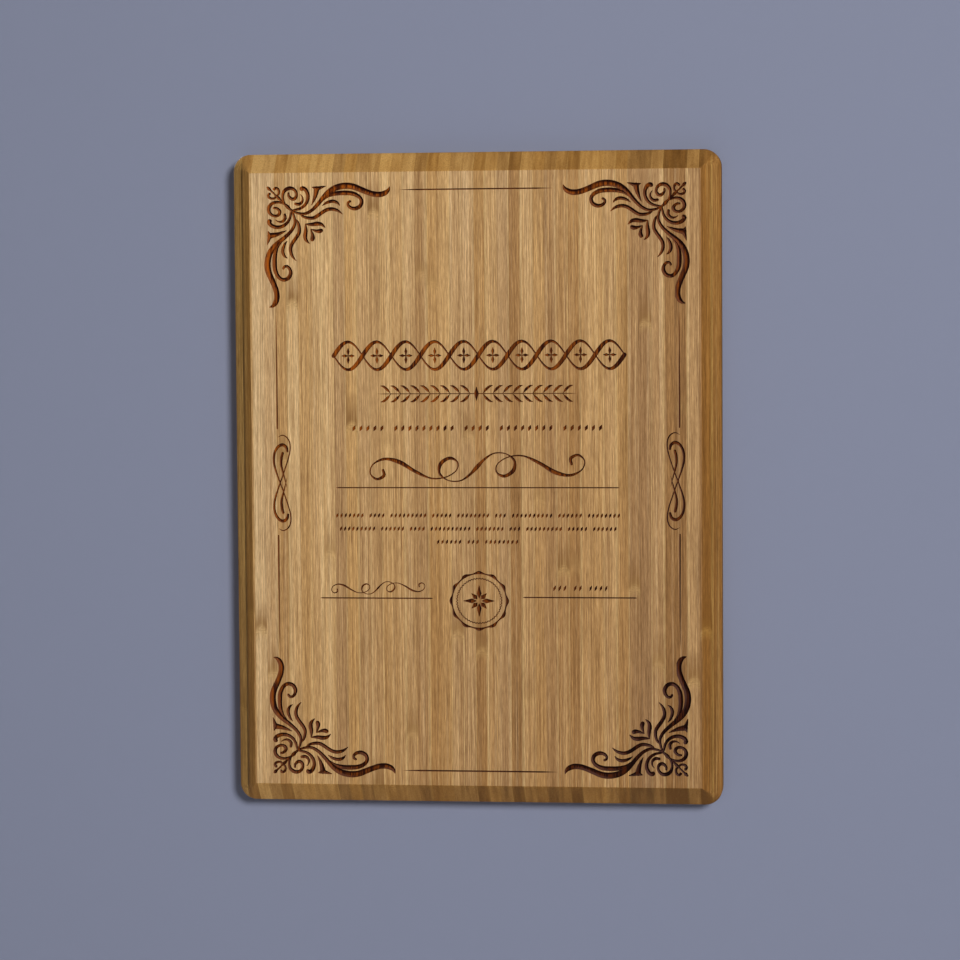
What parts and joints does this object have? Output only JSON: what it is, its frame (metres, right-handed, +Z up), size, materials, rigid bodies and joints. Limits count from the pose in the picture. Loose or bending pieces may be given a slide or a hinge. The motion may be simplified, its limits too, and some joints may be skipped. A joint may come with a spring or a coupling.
{
  "type": "wooden plaque",
  "caption": "Upright bevelled wall plaque of glued bamboo strips with engraved scrollwork corners, rules and a round seal, hung by a recessed keyhole plate.",
  "frame": {"origin": "centre of the hanger's entry hole, in the plane of the board's back, which is the wall", "axes": "+X to the reader's right, +Z up along the bamboo's grain, +Y into the wall; the engraved front faces -Y"},
  "size_m": [0.2286, 0.019, 0.3048],
  "materials": {
    "bamboo": "sanded caramel bamboo under a thin satin clear coat, laser-burnt dark brown in the engraving",
    "plate_steel": "zinc-plated, finely brushed",
    "screw_steel": "bright zinc"
  },
  "bodies": {
    "root": {"bamboo_strip_01": "bamboo", "bamboo_strip_02": "bamboo", "bamboo_strip_03": "bamboo", "bamboo_strip_04": "bamboo", "bamboo_strip_05": "bamboo", "bamboo_strip_06": "bamboo", "bamboo_strip_07": "bamboo", "bamboo_strip_08": "bamboo", "bamboo_strip_09": "bamboo", "bamboo_strip_10": "bamboo", "bamboo_strip_11": "bamboo", "bamboo_strip_12": "bamboo", "bamboo_strip_13": "bamboo", "bamboo_strip_14": "bamboo", "bamboo_strip_15": "bamboo", "bamboo_strip_16": "bamboo", "bamboo_strip_17": "bamboo", "bamboo_strip_18": "bamboo", "bamboo_strip_19": "bamboo", "bamboo_strip_20": "bamboo", "bamboo_strip_21": "bamboo", "bamboo_strip_22": "bamboo", "bamboo_strip_23": "bamboo", "bamboo_strip_24": "bamboo", "bamboo_strip_25": "bamboo", "bamboo_strip_26": "bamboo", "bamboo_strip_27": "bamboo", "bamboo_strip_28": "bamboo", "bamboo_strip_29": "bamboo", "bamboo_strip_30": "bamboo", "bamboo_strip_31": "bamboo", "bamboo_strip_32": "bamboo", "bamboo_strip_33": "bamboo", "bamboo_strip_34": "bamboo", "bamboo_strip_35": "bamboo", "bamboo_strip_36": "bamboo", "bamboo_strip_37": "bamboo", "bamboo_strip_38": "bamboo", "bamboo_strip_39": "bamboo", "bamboo_strip_40": "bamboo", "bamboo_strip_41": "bamboo", "bamboo_strip_42": "bamboo", "hanger_plate": "plate_steel", "hanger_screws": "screw_steel"}
  },
  "joints": []
}
